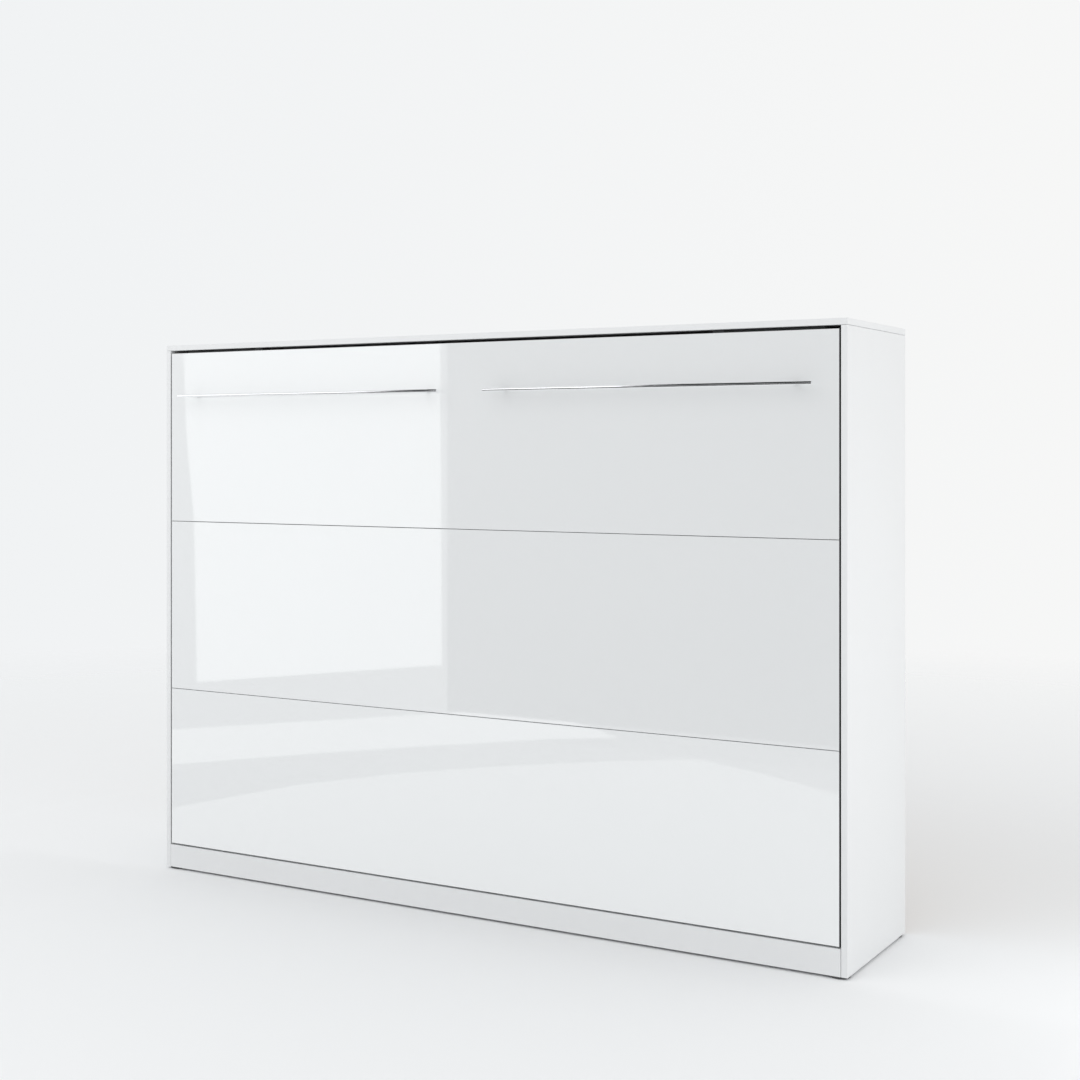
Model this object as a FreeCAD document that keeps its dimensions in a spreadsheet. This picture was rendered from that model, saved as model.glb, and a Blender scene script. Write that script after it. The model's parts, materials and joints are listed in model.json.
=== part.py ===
import FreeCAD, Part
import math
import os

import Sketcher
from FreeCAD import Placement, Rotation, Vector

# A horizontal wall bed: a white board cabinet holds a 1400 x 2000 mattress on edge behind three
# gloss boards. The boards, a steel frame, slats and the mattress are one bed that folds forward
# about two pins near its lower edge. Gas struts carry its weight and two flat legs swing out of
# the gap above the boards. +Z is up, the front faces -Y, and X runs along the bed.

doc = FreeCAD.newDocument("WallBed")
sheet = doc.addObject("Spreadsheet::Sheet", "Sizes")


class Size:
    """A length in mm with the sheet expression that it is worked out from."""

    def __init__(self, value, text):
        self.value = value
        self.text = text

    def combine(self, other, sign, swap=False):
        other = as_size(other)
        left, right = (other, self) if swap else (self, other)
        results = {"+": lambda a, b: a + b, "-": lambda a, b: a - b,
                   "*": lambda a, b: a * b, "/": lambda a, b: a / b}
        return Size(results[sign](left.value, right.value), f"({left.text} {sign} {right.text})")

    def __add__(self, other):
        return self.combine(other, "+")

    def __radd__(self, other):
        return self.combine(other, "+", swap=True)

    def __sub__(self, other):
        return self.combine(other, "-")

    def __rsub__(self, other):
        return self.combine(other, "-", swap=True)

    def __mul__(self, other):
        return self.combine(other, "*")

    def __rmul__(self, other):
        return self.combine(other, "*", swap=True)

    def __truediv__(self, other):
        return self.combine(other, "/")

    def __neg__(self):
        return self.combine(-1, "*")


def as_size(value):
    return value if isinstance(value, Size) else Size(float(value), f"({value})")


def driving(alias, value):
    """Puts one driving dimension in the sheet."""
    driving.row += 1
    sheet.set(f"A{driving.row}", alias)
    sheet.set(f"B{driving.row}", str(value))
    sheet.setAlias(f"B{driving.row}", alias)
    return Size(float(value), f"Sizes.{alias}")


driving.row = 0

# Cabinet
outer_width = driving("outer_width", 2114)
outer_height = driving("outer_height", 1565)
outer_depth = driving("outer_depth", 451)
board = driving("board_thickness", 16)
hdf = driving("back_thickness", 3)
flange = driving("strip_flange", 1)
strip_width = driving("strip_width", 20)
strip_clearance = driving("strip_clearance", 3)
back_margin = driving("back_margin", 2)
glide_height = driving("glide_height", 6.5)
glide_radius = driving("glide_radius", 24)
side_lift = driving("side_lift", 6.5)
plinth_height = driving("plinth_height", 66)
top_rail_height = driving("top_rail_height", 120)
bottom_rail_height = driving("bottom_rail_height", 90)
wall_hole_radius = driving("wall_hole_radius", 4.5)
wall_hole_drop = driving("wall_hole_drop", 37)
wall_hole_spacing = driving("wall_hole_spacing", 1700)
wall_bracket_size = driving("wall_bracket_size", 60)
steel_sheet = driving("steel_sheet", 3)
cam_radius = driving("cam_radius", 7.5)
cam_depth = driving("cam_depth", 12.5)
cam_distance = driving("cam_distance", 34)
cam_bolt_radius = driving("cam_bolt_radius", 3.5)
cam_bolt_grip = driving("cam_bolt_grip", 10)
edge_radius = driving("edge_radius", 1)
plinth_gap = driving("plinth_gap", 1)
joint_gap = driving("joint_gap", 0.6)
buffer_height = driving("buffer_height", 1370)
buffer_size = driving("buffer_size", 40)

# Front of the bed
side_gap = driving("side_gap", 4)
panel_bottom = driving("panel_bottom", 77.5)
seam = driving("seam_gap", 1.5)
bottom_board_height = driving("bottom_board_height", 462)
middle_board_height = driving("middle_board_height", 498)
top_board_height = driving("top_board_height", 499.5)
handle_radius = driving("handle_radius", 4)
handle_reach = driving("handle_reach", 35)
handle_length = driving("handle_length", 909)
handle_height = driving("handle_height", 1412)
handle_margin = driving("handle_margin", 75.5)
post_inset = driving("post_inset", 50)
post_radius = driving("post_radius", 3.5)
screw_radius = driving("screw_radius", 2)
screw_reach = driving("screw_reach", 12)

# Bed frame, slats and mattress
frame_half = driving("frame_half_length", 1004)
tube_deep = driving("tube_deep", 40)
tube_wide = driving("tube_wide", 30)
tube_wall = driving("tube_wall", 2)
frame_lift = driving("frame_lift", 2.5)
frame_bolt_radius = driving("frame_bolt_radius", 3)
slat_width = driving("slat_width", 60)
slat_thick = driving("slat_thick", 8)
slat_pitch = driving("slat_pitch", 140)
holder_wall = driving("holder_wall", 2)
holder_length = driving("holder_length", 26)
mattress_length = driving("mattress_length", 2000)
mattress_width = driving("mattress_width", 1400)
mattress_thick = driving("mattress_thick", 180)
mattress_radius = driving("mattress_radius", 25)
mattress_wall = driving("mattress_wall", 15)
soft_gap = driving("soft_gap", 0.5)
strap_width = driving("strap_width", 40)
strap_thick = driving("strap_thick", 2)
strap_offset = driving("strap_offset", 560)

# Fold, struts and legs
pivot_behind = driving("pivot_behind", 60)
pivot_height = driving("pivot_height", 300)
pin_radius = driving("pin_radius", 8)
running_fit = driving("running_fit", 0.05)
bush_radius = driving("bush_radius", 10)
boss_radius = driving("boss_radius", 14)
boss_length = driving("boss_length", 21)
bed_plate = driving("bed_plate", 5)
upper_stud_behind = driving("upper_stud_behind", 179)
upper_stud_height = driving("upper_stud_height", 524)
lower_stud_behind = driving("lower_stud_behind", 48)
lower_stud_height = driving("lower_stud_height", 219)
stud_radius = driving("stud_radius", 4)
strut_radius = driving("strut_radius", 10)
strut_wall = driving("strut_wall", 1.5)
rod_radius = driving("rod_radius", 5)
strut_body = driving("strut_body", 190)
eye_radius = driving("eye_radius", 9)
eye_width = driving("eye_width", 14)
piston_length = driving("piston_length", 12)
socket_radius = driving("socket_radius", 8)
socket_length = driving("socket_length", 30)
leg_width = driving("leg_width", 36)
leg_thick = driving("leg_thick", 5)
leg_pivot_inset = driving("leg_pivot_inset", 22)
leg_rivet_radius = driving("leg_rivet_radius", 5)
washer_thick = driving("washer_thick", 1.2)
floor_gap = driving("floor_gap", 0.8)
free_gap = driving("free_gap", 0.3)
pad_wall = driving("pad_wall", 0.8)
pad_length = driving("pad_length", 30)
doc.recompute()

# Places that the pieces share
half_width = outer_width / 2
inner_half = half_width - board
front = (handle_reach + handle_radius - outer_depth) / 2
rear = front + outer_depth
boards_rear = rear - hdf - flange
top_underside = outer_height - board
panel_half = inner_half - side_gap
panel_back = front + board
frame_back = panel_back + tube_deep
panel_top = panel_bottom + bottom_board_height + middle_board_height + top_board_height + 2 * seam
middle_board_low = panel_bottom + bottom_board_height + seam
top_board_low = middle_board_low + middle_board_height + seam
pivot_y = front + pivot_behind
upper_y = front + upper_stud_behind
lower_y = front + lower_stud_behind
plate_inner = inner_half - steel_sheet
bed_plate_outer = frame_half + bed_plate
strut_x = (plate_inner + bed_plate_outer) / 2
wall_hole_height = top_underside - wall_hole_drop
SIDES = (("left", -1), ("right", 1))

# Turns that carry a piece's own Z to each axis of the bed, in the order X, Y, Z
TURNS = {"x": Rotation(Vector(1, 1, 1), 120), "y": Rotation(Vector(1, 1, 1), 240), "z": Rotation()}
ends = []


def bind(item, name, size):
    item.setExpression(name, as_size(size).text)


def place(item, at, turn):
    """Puts an object at three sizes, turned."""
    item.Placement = Placement(Vector(*[as_size(size).value for size in at]), turn)
    for axis, size in zip("xyz", at):
        bind(item, f"Placement.Base.{axis}", size)


def keep(item, label):
    """Makes an object one of the bed's own pieces."""
    item.Label = label
    ends.append(item)
    return item


def block(low, high, name="Block"):
    """A box between two corners."""
    item = doc.addObject("Part::Box", name)
    for side, a, b in zip(("Length", "Width", "Height"), low, high):
        bind(item, side, as_size(b) - a)
    place(item, low, Rotation())
    return item


def cylinder(along, at, radius, length, turn=None, name="Cylinder"):
    """A cylinder that starts at a point and runs along an axis, or along a turn's own Z."""
    item = doc.addObject("Part::Cylinder", name)
    bind(item, "Radius", radius)
    bind(item, "Height", length)
    place(item, at, turn or TURNS[along])
    return item


def cut(base, tools, name="Cut"):
    item = doc.addObject("Part::Cut", name)
    item.Base = base
    item.Tool = tools[0] if len(tools) == 1 else group(tools, "Tools")
    return item


def fuse(pieces, name="Fuse"):
    item = doc.addObject("Part::MultiFuse", name)
    item.Shapes = pieces
    return item


def group(pieces, name="Group"):
    """Several separate solids that share one node."""
    item = doc.addObject("Part::Compound", name)
    item.Links = pieces
    return item


def fix(sketch, geometry, point, across, up):
    """Ties a sketch point to the sketch's origin by two sizes."""
    for kind, size in (("DistanceX", across), ("DistanceY", up)):
        size = as_size(size)
        index = sketch.addConstraint(Sketcher.Constraint(kind, -1, 1, geometry, point, size.value))
        sketch.setExpression(f"Constraints[{index}]", size.text)


def polygon(sketch, points):
    """A closed outline of straight lines through points given as pairs of sizes."""
    corners = [Vector(as_size(a).value, as_size(b).value) for a, b in points]
    count = len(corners)
    first = sketch.GeometryCount
    for i in range(count):
        sketch.addGeometry(Part.LineSegment(corners[i], corners[(i + 1) % count]))
    for i in range(count):
        after = first + (i + 1) % count
        sketch.addConstraint(Sketcher.Constraint("Coincident", first + i, 2, after, 1))
    for i, (across, up) in enumerate(points):
        fix(sketch, first + i, 1, across, up)


def circle(sketch, centre, radius):
    radius = as_size(radius)
    middle = Vector(as_size(centre[0]).value, as_size(centre[1]).value)
    index = sketch.addGeometry(Part.Circle(middle, Vector(0, 0, 1), radius.value))
    fix(sketch, index, 3, *centre)
    constraint = sketch.addConstraint(Sketcher.Constraint("Radius", index, radius.value))
    sketch.setExpression(f"Constraints[{constraint}]", radius.text)


def sketch_on(body, role):
    """A sketch on one of the body's own origin planes."""
    sketch = body.newObject("Sketcher::SketchObject", "Outline")
    plane = [feature for feature in body.Origin.OriginFeatures if feature.Role == role][0]
    sketch.AttachmentSupport = [(plane, "")]
    sketch.MapMode = "FlatFace"
    return sketch


def prism(along, start, end, outline, circles=(), inner=None, name="Prism"):
    """An outline, drawn across an axis in cyclic order, carried along it from start to end."""
    body = doc.addObject("PartDesign::Body", name)
    sketch = sketch_on(body, "XY_Plane")
    polygon(sketch, outline)
    if inner:
        polygon(sketch, inner)
    for centre, radius in circles:
        circle(sketch, centre, radius)
    pad = body.newObject("PartDesign::Pad", "Pad")
    pad.Profile = sketch
    bind(pad, "Length", as_size(end) - start)
    place(body, [start if axis == along else 0 for axis in "xyz"], TURNS[along])
    doc.recompute()
    return body


def turned(along, at, profile, turn=None, name="Turned"):
    """A profile of (radius, height) points turned about an axis through a point."""
    body = doc.addObject("PartDesign::Body", name)
    sketch = sketch_on(body, "XZ_Plane")
    polygon(sketch, profile)
    revolution = body.newObject("PartDesign::Revolution", "Revolution")
    revolution.Profile = sketch
    revolution.ReferenceAxis = (sketch, ["V_Axis"])
    revolution.Angle = 360
    place(body, at, turn or TURNS[along])
    doc.recompute()
    return body


def rounded(body, radius, chosen):
    """Rounds the body's edges that the test picks out, in the body's own axes."""
    feature = body.Tip
    names = [f"Edge{i + 1}" for i, edge in enumerate(feature.Shape.Edges) if chosen(edge)]
    fillet = body.newObject("PartDesign::Fillet", "Rounding")
    fillet.Base = (feature, names)
    fillet.Radius = as_size(radius).value
    bind(fillet, "Radius", radius)
    doc.recompute()
    return body


def rectangle(low_a, low_b, high_a, high_b):
    return [(low_a, low_b), (high_a, low_b), (high_a, high_b), (low_a, high_b)]


def mirrored(sign, near, far):
    """The two X limits, lower first, of a stretch from near to far on one side of the middle."""
    return (near, far) if sign > 0 else (-far, -near)


def flat_at(height):
    """A test for edges that lie whole at one height of the body's own Z."""
    def chosen(edge):
        box = edge.BoundBox
        return abs(box.ZMin - height) < 0.01 and abs(box.ZMax - height) < 0.01
    return chosen


def upright(edge):
    """Picks the edges that run along the body's own Z."""
    return edge.BoundBox.ZLength > 0.5 and edge.BoundBox.DiagonalLength - edge.BoundBox.ZLength < 0.01


# Cabinet joints: each cam lock sits in a blind bore of one board and draws in a bolt that grips
# the next board. A joint is the cam's centre on the board's face, the way into the board, and the
# way from the cam along the bolt.
cam_bolt_length = cam_distance - cam_radius + cam_bolt_grip
cam_slot_deep, cam_slot_long, cam_slot_wide = 1.5, 5, 1
side_joint_shares = (0.2, 0.85)
joints = []
for side, sign in SIDES:
    for share in side_joint_shares:
        at = (sign * inner_half, front + share * (boards_rear - front), top_underside - cam_distance)
        joints.append((at, ("x", sign), ("z", 1), f"side_{side}", "top"))
    x = sign * (inner_half - cam_distance)
    cross_joints = (("plinth", panel_back, -1, glide_height + plinth_height / 2),
                    ("rear_top", boards_rear - board, 1, top_underside - top_rail_height + cam_distance),
                    ("rear_bottom", boards_rear - board, 1, glide_height + bottom_rail_height / 2))
    for name, y, into_sign, z in cross_joints:
        joints.append(((x, y, z), ("y", into_sign), ("x", sign), name, f"side_{side}"))


def reach(along, sign, start, radius, length, name):
    """A cylinder that runs from a point either way along an axis."""
    low = list(start)
    index = "xyz".index(along)
    if sign < 0:
        low[index] = as_size(start[index]) - length
    return cylinder(along, low, radius, length, name=name)


def cam_pieces():
    """The cam locks, their bolts, and the bores that each board needs for them."""
    cams, bolts, bores = [], [], {}
    for centre, (into, into_sign), (out, out_sign), board_name, next_name in joints:
        bore = reach(into, into_sign, centre, cam_radius, cam_depth, "CamBore")
        shell = reach(into, into_sign, centre, cam_radius, cam_depth, "CamShell")
        slot_low, slot_high = [], []
        for axis, middle in zip("xyz", centre):
            half = cam_slot_deep if axis == into else cam_slot_wide if axis == out else cam_slot_long
            slot_low.append(as_size(middle) - half)
            slot_high.append(as_size(middle) + half)
        cams.append(cut(shell, [block(slot_low, slot_high, "CamSlot")], "Cam"))
        start = [as_size(middle) for middle in centre]
        start["xyz".index(into)] = start["xyz".index(into)] + into_sign * board / 2
        start["xyz".index(out)] = start["xyz".index(out)] + out_sign * cam_radius
        bolt_bore = reach(out, out_sign, start, cam_bolt_radius, cam_bolt_length, "BoltBore")
        bolt = reach(out, out_sign, start, cam_bolt_radius, cam_bolt_length, "CamBolt")
        bolts.append(cut(bolt, [bore], "TrimmedBolt"))
        bores.setdefault(board_name, []).extend([bore, bolt_bore])
        bores.setdefault(next_name, []).append(bolt_bore)
    keep(group(cams, "CamLocks"), "cam_locks")
    keep(group(bolts, "CamBolts"), "cam_bolts")
    return bores


bores = cam_pieces()

# Pivot plates on the cabinet sides: one holds the pin that the bed turns on and the strut's upper
# stud, and four countersunk screws hold it to the side.
plate_screw_places = ((front + 36, pivot_height - 38), (front + 88, pivot_height - 10),
                      (front + 114, upper_stud_height - 54), (front + 200, upper_stud_height - 24))
plate_corner = 8
plate_front, plate_foot = front + 24, front + 100
plate_bottom, plate_bend = pivot_height - 52, pivot_height + 60
head_front, head_rear = upper_y - 60, upper_y + 40
head_bottom, head_top = upper_stud_height - 40, upper_stud_height + 30
plate_outline = [(plate_front, plate_bottom), (plate_foot, plate_bottom), (head_rear, head_bottom),
                 (head_rear, head_top), (head_front, head_top), (plate_front, plate_bend)]
screw_head, screw_core, screw_taper, screw_length = 5.5, 3, 14, 15
collar_radius, collar_thick, pin_end_gap, pin_ease = 17, 6, 1.5, 1
stud_base_radius, stud_end_reach = 7, 2


def pivot_parts(side, sign):
    x_low, x_high = mirrored(sign, plate_inner, inner_half)
    plate = rounded(prism("x", x_low, x_high, plate_outline, name="PivotPlate"), plate_corner, upright)
    screws, sinks = [], []
    into = Rotation(Vector(0, 1, 0), 90 * sign)
    screw_profile = [(0, 0), (screw_head, 0), (screw_core, steel_sheet), (screw_core, screw_taper),
                     (0, screw_length)]
    for y, z in plate_screw_places:
        at = (sign * plate_inner, y, z)
        screws.append(turned("z", at, screw_profile, into, "PlateScrew"))
        sinks.append(turned("z", at, screw_profile, into, "PlateSink"))
    keep(cut(plate, sinks, "PivotPlateSunk"), f"pivot_plate_{side}")
    outward = Rotation(Vector(0, 1, 0), -90 * sign)
    pin_length = plate_inner - frame_half - pin_end_gap
    pin_profile = [(0, 0), (collar_radius, 0), (collar_radius, collar_thick), (pin_radius, collar_thick),
                   (pin_radius, pin_length - pin_ease), (pin_radius - pin_ease, pin_length), (0, pin_length)]
    pin = turned("z", (sign * plate_inner, pivot_y, pivot_height), pin_profile, outward, "PivotPin")
    keep(pin, f"pivot_pin_{side}")
    stud_start = plate_inner - strut_x - eye_width / 2 - soft_gap
    stud_end = plate_inner - strut_x + eye_width / 2 + stud_end_reach
    stud_profile = [(0, 0), (stud_base_radius, 0), (stud_base_radius, stud_start), (stud_radius, stud_start),
                    (stud_radius, stud_end), (0, stud_end)]
    stud = turned("z", (sign * plate_inner, upper_y, upper_stud_height), stud_profile, outward, "UpperStud")
    return screws, sinks, stud


plate_screws, upper_studs = [], []
for side, sign in SIDES:
    screws, sinks, stud = pivot_parts(side, sign)
    plate_screws += screws
    bores[f"side_{side}"] += sinks
    upper_studs.append(stud)
keep(group(plate_screws, "PlateScrews"), "pivot_plate_screws")
keep(group(upper_studs, "UpperStuds"), "upper_strut_studs")

# Cabinet boards, with the bores that their fittings need. Visible edges are rounded. The cam bolts
# hold the sides a hair below the top and the plinth's ends a hair off the sides, so that fine dark
# joint lines show between the boards.
wall_bore_depth = board + steel_sheet + 2 * hdf
wall_bore_start = boards_rear - board - steel_sheet
wall_bores = [cylinder("y", (sign * wall_hole_spacing / 2, wall_bore_start, wall_hole_height),
                       wall_hole_radius, wall_bore_depth, name="WallBore") for _, sign in SIDES]


def side_edges(outer_face):
    """A test for a side panel's front edges and the top edge of its outer face."""
    def chosen(edge):
        box = edge.BoundBox
        at_front = box.XMax < front.value + 1 and not upright(edge)
        at_top = flat_at(outer_face)(edge) and box.YMin > top_underside.value - 1
        return at_front and box.YLength > board.value or at_top
    return chosen


def top_edges(edge):
    """Picks the top board's edges at the front and at both ends."""
    lies_flat = flat_at(0)(edge) or flat_at(board.value)(edge)
    return lies_flat and edge.BoundBox.YMin < boards_rear.value - 1


for side, sign in SIDES:
    x_low, x_high = mirrored(sign, inner_half, half_width)
    panel_outline = rectangle(front, side_lift, boards_rear, top_underside - joint_gap)
    panel = prism("x", x_low, x_high, panel_outline, name="SidePanel")
    rounded(panel, edge_radius, side_edges(board.value if sign > 0 else 0))
    keep(cut(panel, bores[f"side_{side}"], "SidePanelBored"), f"side_panel_{side}")
top_outline = rectangle(-half_width, front, half_width, boards_rear)
top = rounded(prism("z", top_underside, outer_height, top_outline, name="TopBoard"), edge_radius, top_edges)
keep(cut(top, bores["top"], "TopBoardBored"), "top_board")
plinth_half = inner_half - plinth_gap
plinth = block((-plinth_half, front, glide_height), (plinth_half, panel_back, glide_height + plinth_height),
               "Plinth")
keep(cut(plinth, bores["plinth"], "PlinthBored"), "plinth_board")
top_rail = block((-inner_half, boards_rear - board, top_underside - top_rail_height),
                 (inner_half, boards_rear, top_underside), "RearTopRail")
keep(cut(top_rail, bores["rear_top"] + wall_bores, "RearTopRailBored"), "rear_top_rail")
bottom_rail = block((-inner_half, boards_rear - board, glide_height),
                    (inner_half, boards_rear, glide_height + bottom_rail_height), "RearBottomRail")
keep(cut(bottom_rail, bores["rear_bottom"], "RearBottomRailBored"), "rear_bottom_rail")

# The back is three thin boards joined by two H-shaped strips
web_share = 1.5
web = flange * web_share
back_half = half_width - back_margin
third = (back_half * 2 - web * 2) / 3
back_low = side_lift + back_margin
back_high = outer_height - back_margin
back_limits = (("left", -back_half, -back_half + third), ("centre", -third / 2, third / 2),
               ("right", back_half - third, back_half))
for name, low, high in back_limits:
    panel = block((low, boards_rear, back_low), (high, boards_rear + hdf, back_high), "BackPanel")
    keep(cut(panel, wall_bores, "BackPanelBored") if name != "centre" else panel, f"back_panel_{name}")
# and the strips run between the rear rails
strip_low = glide_height + bottom_rail_height + strip_clearance
strip_high = top_underside - top_rail_height - strip_clearance
strip_parts = ((strip_width / 2, boards_rear + hdf, rear), (web / 2, boards_rear, rear),
               (strip_width / 2, boards_rear - flange, boards_rear))
strips = []
for _, sign in SIDES:
    middle = sign * (third + web) / 2
    strips.append(fuse([block((middle - half, low, strip_low), (middle + half, high, strip_high))
                        for half, low, high in strip_parts], "HStrip"))
keep(group(strips, "HStrips"), "back_joining_strips")

# Glides: low round feet under the ends of the plinth and of the rear rail
glides = []
glide_low_ease, glide_top_ease, glide_inset = 2, 1, 2
glide_profile = [(0, 0), (glide_radius - glide_low_ease, 0), (glide_radius, glide_low_ease),
                 (glide_radius, glide_height - glide_top_ease),
                 (glide_radius - glide_top_ease, glide_height), (0, glide_height)]
for _, sign in SIDES:
    for y in (front + glide_radius + glide_inset, boards_rear - glide_radius - glide_inset):
        at = (sign * (half_width - glide_radius - glide_inset), y, 0)
        glides.append(turned("z", at, glide_profile, name="Glide"))
keep(group(glides, "Glides"), "levelling_glides")

# Angle brackets that tie the top and the rear rail to the wall
rail_face = boards_rear - board
bracket_face, bracket_end = rail_face - steel_sheet, rail_face - wall_bracket_size
bracket_top, bracket_low = top_underside - steel_sheet, top_underside - wall_bracket_size
bracket_outline = [(bracket_face, bracket_low), (rail_face, bracket_low), (rail_face, top_underside),
                   (bracket_end, top_underside), (bracket_end, bracket_top), (bracket_face, bracket_top)]
bracket_bend = 2


def bracket_corner(edge):
    """Picks the bracket's inside corner."""
    box = edge.BoundBox
    at_corner = abs(box.XMax - bracket_face.value) < 0.01 and abs(box.YMax - bracket_top.value) < 0.01
    return upright(edge) and at_corner


brackets = []
for _, sign in SIDES:
    x = sign * wall_hole_spacing / 2
    corner = prism("x", x - wall_bracket_size / 2, x + wall_bracket_size / 2, bracket_outline,
                   name="WallBracket")
    brackets.append(cut(rounded(corner, bracket_bend, bracket_corner), wall_bores, "WallBracketBored"))
keep(group(brackets, "WallBrackets"), "wall_brackets")

# Rubber pads on small blocks stop the closed front level with the cabinet's edges
pads, blocks = [], []
buffer_clear, pad_thick, buffer_block_deep = 3, 4, 20
pad_low = panel_back + soft_gap
pad_high = pad_low + pad_thick
buffer_top = buffer_height + buffer_size
for _, sign in SIDES:
    near, far = mirrored(sign, bed_plate_outer + buffer_clear, inner_half)
    pads.append(block((near, pad_low, buffer_height), (far, pad_high, buffer_top), "BufferPad"))
    blocks.append(block((near, pad_high, buffer_height), (far, pad_high + buffer_block_deep, buffer_top),
                        "BufferBlock"))
keep(group(pads, "BufferPads"), "buffer_pads")
keep(group(blocks, "BufferBlocks"), "buffer_blocks")

# Front boards, with a rounded edge all round their faces
handle_y = front - handle_reach
post_places = []
for _, sign in SIDES:
    outer_end = half_width - handle_margin
    for x in (outer_end - post_inset, outer_end - handle_length + post_inset):
        post_places.append(sign * x)
screw_start = front - screw_reach
screw_bores = [cylinder("y", (x, screw_start, handle_height), screw_radius, board + screw_reach,
                        name="ScrewBore") for x in post_places]
BOLT_COLUMNS = (-840, -280, 280, 840)
rail_middles = {
    "bottom": panel_bottom + frame_lift + tube_wide / 2,
    "lower": middle_board_low - seam / 2,
    "upper": top_board_low - seam / 2,
    "top": panel_top - tube_wide / 2,
}
bolt_heights = {
    "bottom": rail_middles["bottom"],
    "lower": rail_middles["lower"] + tube_wide / 4,
    "upper": rail_middles["upper"] - tube_wide / 4,
    "top": rail_middles["top"],
}
bolts, bolt_bores = [], {}
bolt_grip, bolt_head_high = 10, 4
for name, z in bolt_heights.items():
    for x in BOLT_COLUMNS:
        start = (x, panel_back - bolt_grip, z)
        bolt_bores.setdefault(name, []).append(
            cylinder("y", start, frame_bolt_radius, tube_deep + bolt_grip, name="FrameBore"))
        shank = cylinder("y", start, frame_bolt_radius, tube_deep + bolt_grip, name="FrameBolt")
        head = cylinder("y", (x, frame_back, z), 2 * frame_bolt_radius, bolt_head_high,
                        name="FrameBoltHead")
        bolts.append(fuse([shank, head], "FrameBoltWhole"))
keep(group(bolts, "FrameBolts"), "frame_bolts")
front_boards = (("bottom", panel_bottom, bottom_board_height, bolt_bores["bottom"]),
                ("middle", middle_board_low, middle_board_height, bolt_bores["lower"] + bolt_bores["upper"]),
                ("top", top_board_low, top_board_height, bolt_bores["top"] + screw_bores))
for name, low, tall, bored in front_boards:
    board_outline = rectangle(low, -panel_half, low + tall, panel_half)
    panel = prism("y", front, panel_back, board_outline, name="FrontBoard")
    rounded(panel, edge_radius, flat_at(0))
    keep(cut(panel, bored, "FrontBoardBored"), f"front_board_{name}")

# Handles: a thin bar on two posts at each side of the middle
posts, handle_screws = [], []
handle_ease, seat_half, screw_head_high = 0.6, 20, 2.5
handle_profile = [(0, 0), (handle_radius - handle_ease, 0), (handle_radius, handle_ease),
                  (handle_radius, handle_length - handle_ease), (handle_radius - handle_ease, handle_length),
                  (0, handle_length)]
for side, sign in SIDES:
    start, _ = mirrored(sign, half_width - handle_margin - handle_length, half_width - handle_margin)
    bar_at = (start, handle_y, handle_height)
    keep(turned("x", bar_at, handle_profile, name="HandleBar"), f"handle_bar_{side}")
for x in post_places:
    whole = cylinder("y", (x, handle_y, handle_height), post_radius, handle_reach, name="Post")
    seat_at = (x - seat_half, handle_y, handle_height)
    bar = cylinder("x", seat_at, handle_radius, 2 * seat_half, name="PostSeat")
    bore = cylinder("y", (x, screw_start, handle_height), screw_radius, screw_reach, name="PostBore")
    posts.append(cut(whole, [bar, bore], "PostWhole"))
    screw = cylinder("y", (x, screw_start, handle_height), screw_radius, board + screw_reach,
                     name="HandleScrew")
    head = cylinder("y", (x, panel_back, handle_height), 2 * screw_radius, screw_head_high,
                    name="HandleScrewHead")
    handle_screws.append(fuse([screw, head], "HandleScrewWhole"))
keep(group(posts, "Posts"), "handle_posts")
keep(group(handle_screws, "HandleScrews"), "handle_screws")


# Steel frame of rectangular tube
def tube(along, start, end, low, high):
    """A tube whose outside runs between two corners of its section."""
    inner_low = [size + tube_wall for size in low]
    inner_high = [size - tube_wall for size in high]
    inner = rectangle(*inner_low, *inner_high)
    return prism(along, start, end, rectangle(*low, *high), inner=inner, name="Tube")


leg_pivot_x = frame_half - leg_pivot_inset
leg_y = panel_back + tube_deep / 2
bore_overrun = 1
bore_start = panel_top - tube_wall - bore_overrun
rivet_bores = [cylinder("z", (sign * leg_pivot_x, leg_y, bore_start), leg_rivet_radius,
                        tube_wall + 2 * bore_overrun, name="RivetBore") for _, sign in SIDES]
for name, middle in rail_middles.items():
    half = frame_half if name in ("top", "bottom") else frame_half - tube_wide
    low, high = (panel_back, middle - tube_wide / 2), (frame_back, middle + tube_wide / 2)
    rail = tube("x", -half, half, low, high)
    bored = bolt_bores[name] + (rivet_bores if name == "top" else [])
    keep(cut(rail, bored, "RailBored"), f"frame_rail_{name}")
rail_low = rail_middles["bottom"] + tube_wide / 2
rail_high = rail_middles["top"] - tube_wide / 2
plate_bolt_places = [(leg_y, pivot_height + rise) for rise in (-95, 60, 150)]
plate_bolts, bush_pieces = [], []
bed_plate_corner, plate_inset, plate_lip, plate_nose = 6, 2, 6, 24
plate_drop, plate_slope, plate_rise = 112, 110, 175
bed_plate_outline = [(panel_back + plate_inset, pivot_height - plate_drop),
                     (frame_back + plate_lip, pivot_height - plate_drop),
                     (pivot_y + plate_nose, pivot_height - plate_nose),
                     (pivot_y + plate_nose, pivot_height + plate_nose),
                     (frame_back, pivot_height + plate_slope), (frame_back, pivot_height + plate_rise),
                     (panel_back + plate_inset, pivot_height + plate_rise)]
plate_bolt_radius, plate_head_radius, plate_head_high, nut_high = 4, 6.5, 3, 5
plate_grip = bed_plate + tube_wall
bush_flange, bush_lip = 1.5, 1
bush_end = bed_plate + boss_length
bush_profile = [(pin_radius + running_fit, 0), (bush_radius, 0), (bush_radius, bush_end),
                (boss_radius - bush_lip, bush_end), (boss_radius - bush_lip, bush_end + bush_flange),
                (pin_radius + running_fit, bush_end + bush_flange)]
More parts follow.
